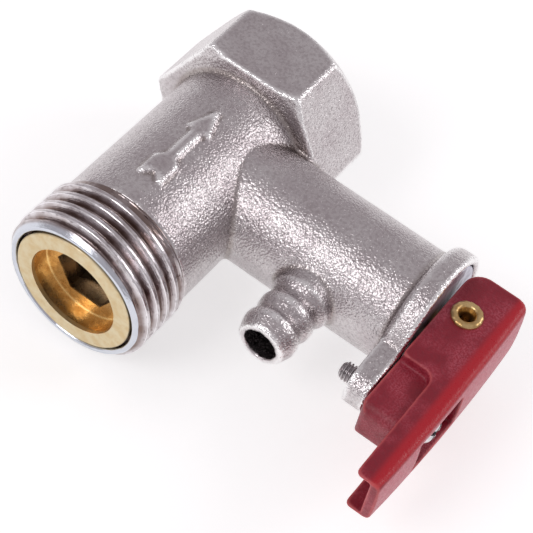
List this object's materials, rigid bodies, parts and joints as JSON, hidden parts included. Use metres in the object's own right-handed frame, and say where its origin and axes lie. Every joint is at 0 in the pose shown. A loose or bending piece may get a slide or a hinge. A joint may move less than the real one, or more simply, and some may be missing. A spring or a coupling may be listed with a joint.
{
  "type": "pressure relief valve",
  "caption": "Angled water-heater safety valve: threaded inlet with check valve, hexagon outlet socket, sprung relief branch with hose spout and a lift lever locked by a screw.",
  "frame": {"origin": "on the run's axis where the thread of the outlet socket starts, 0.7 mm inside the mouth", "axes": "+Y along the run, in the direction of flow and out of the outlet socket; +X along the relief branch, towards the lever; +Z towards the side with the flow arrow"},
  "size_m": [0.0583, 0.0442, 0.0238],
  "materials": {
    "plated_brass": "nickel-plated casting, tumbled",
    "bare_brass": "machined",
    "rubber": "matt",
    "stainless": "drawn wire",
    "acetal": "moulded",
    "zinc_steel": "zinc plated",
    "red_plastic": "moulded, satin"
  },
  "bodies": {
    "body": {"valve_body": "plated_brass", "inlet_retainer": "bare_brass", "retainer_gasket": "rubber", "check_guide": "acetal", "check_spring": "stainless", "adjusting_bush": "bare_brass", "stem_o_ring": "rubber", "bonnet_disc": "zinc_steel", "relief_spring": "stainless"},
    "check_valve": {"check_poppet": "acetal", "check_seal": "rubber", "check_seal_washer": "stainless"},
    "relief_valve": {"relief_stem": "bare_brass", "seal_holder": "bare_brass", "relief_seal": "rubber", "relief_seal_washer": "bare_brass", "spring_washer": "stainless"},
    "test_lever": {"lever": "red_plastic", "lever_rivet": "bare_brass"},
    "screw": {"lock_screw": "zinc_steel"}
  },
  "joints": [
    {"name": "check_slide", "type": "slide", "parent": "body", "child": "check_valve", "axis": [0, 1, 0], "range_m": [0, 0.003], "stiffness_N_per_m": 20, "springref_m": -0.0015, "deforming": ["check_spring"]},
    {"name": "stem_slide", "type": "slide", "parent": "body", "child": "relief_valve", "axis": [1, 0, 0], "range_m": [0, 0.003], "stiffness_N_per_m": 120, "springref_m": -0.002, "deforming": ["relief_spring"]},
    {"name": "lever_pivot", "type": "hinge", "parent": "relief_valve", "child": "test_lever", "pos_m": [0.039, -0.0173, 0], "axis": [0, 0, 1], "range_deg": [0, 45]},
    {"name": "lock_screw_slide", "type": "slide", "parent": "test_lever", "child": "screw", "axis": [1, 0, 0], "range_m": [0, 0.005]}
  ],
  "couplings": [
    {"joint": "lever_pivot", "follows": "stem_slide", "rad_per_m": 261.79}
  ]
}
